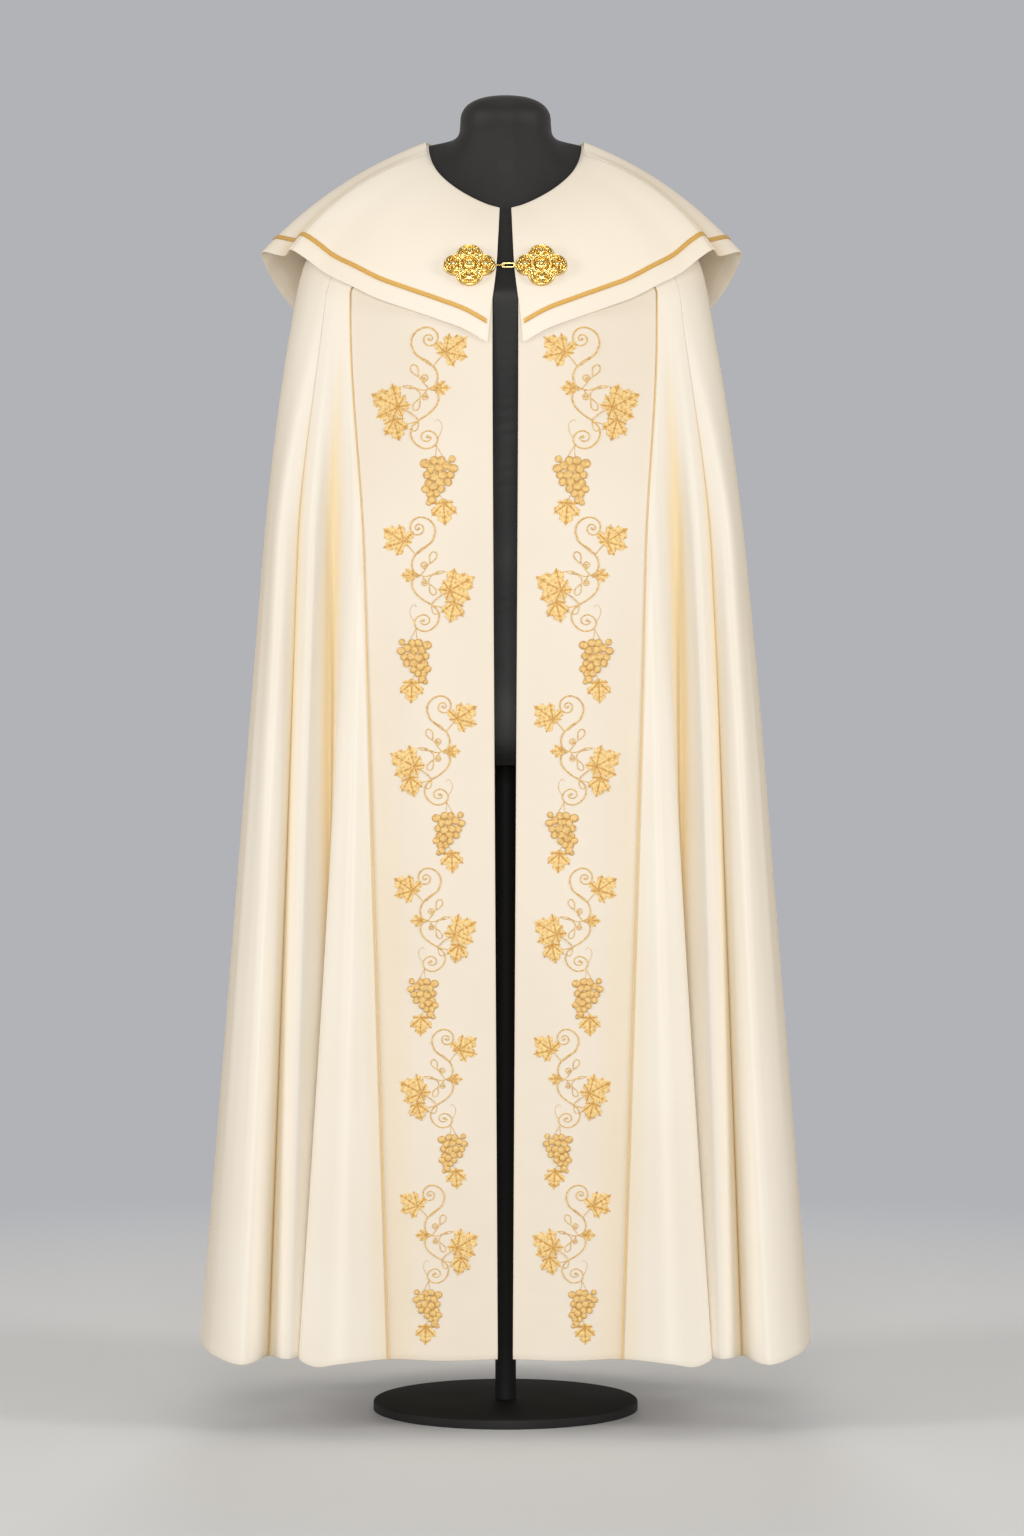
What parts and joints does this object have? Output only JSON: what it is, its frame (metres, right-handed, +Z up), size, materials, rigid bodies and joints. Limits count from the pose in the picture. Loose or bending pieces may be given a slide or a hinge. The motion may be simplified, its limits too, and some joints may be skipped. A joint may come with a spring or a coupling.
{
  "type": "cope vestment on a limbless dress form",
  "caption": "Full-length liturgical cope with a shoulder cape, front orphreys, braid and a hooked clasp, open at the front and standing on a limbless dress form.",
  "frame": {"origin": "on the floor under the middle of the stand's round base", "axes": "+Z up along the pole, -Y towards the open front of the cope, +X to the viewer's right when the front is seen"},
  "size_m": [0.7534, 0.5053, 1.637],
  "materials": {
    "cream_satin": "soft satin weave, lined",
    "gold_thread": "lustrous gold thread",
    "gilt_metal": "polished gilt filigree",
    "form_cover": "smooth black jersey",
    "stand_black": "satin black powder coat"
  },
  "bodies": {
    "root": {"mantle_back": "cream_satin", "mantle_left": "cream_satin", "mantle_right": "cream_satin", "orphrey_left": "cream_satin", "orphrey_right": "cream_satin", "cape_back": "cream_satin", "cape_left": "cream_satin", "cape_right": "cream_satin", "braid_back": "gold_thread", "braid_left": "gold_thread", "braid_right": "gold_thread", "piping_left": "gold_thread", "piping_right": "gold_thread", "morse_plate_left": "gilt_metal", "morse_plate_right": "gilt_metal", "morse_hook": "gilt_metal", "morse_link": "gilt_metal", "form_torso": "form_cover", "form_pole": "stand_black", "form_base": "stand_black"}
  },
  "joints": []
}
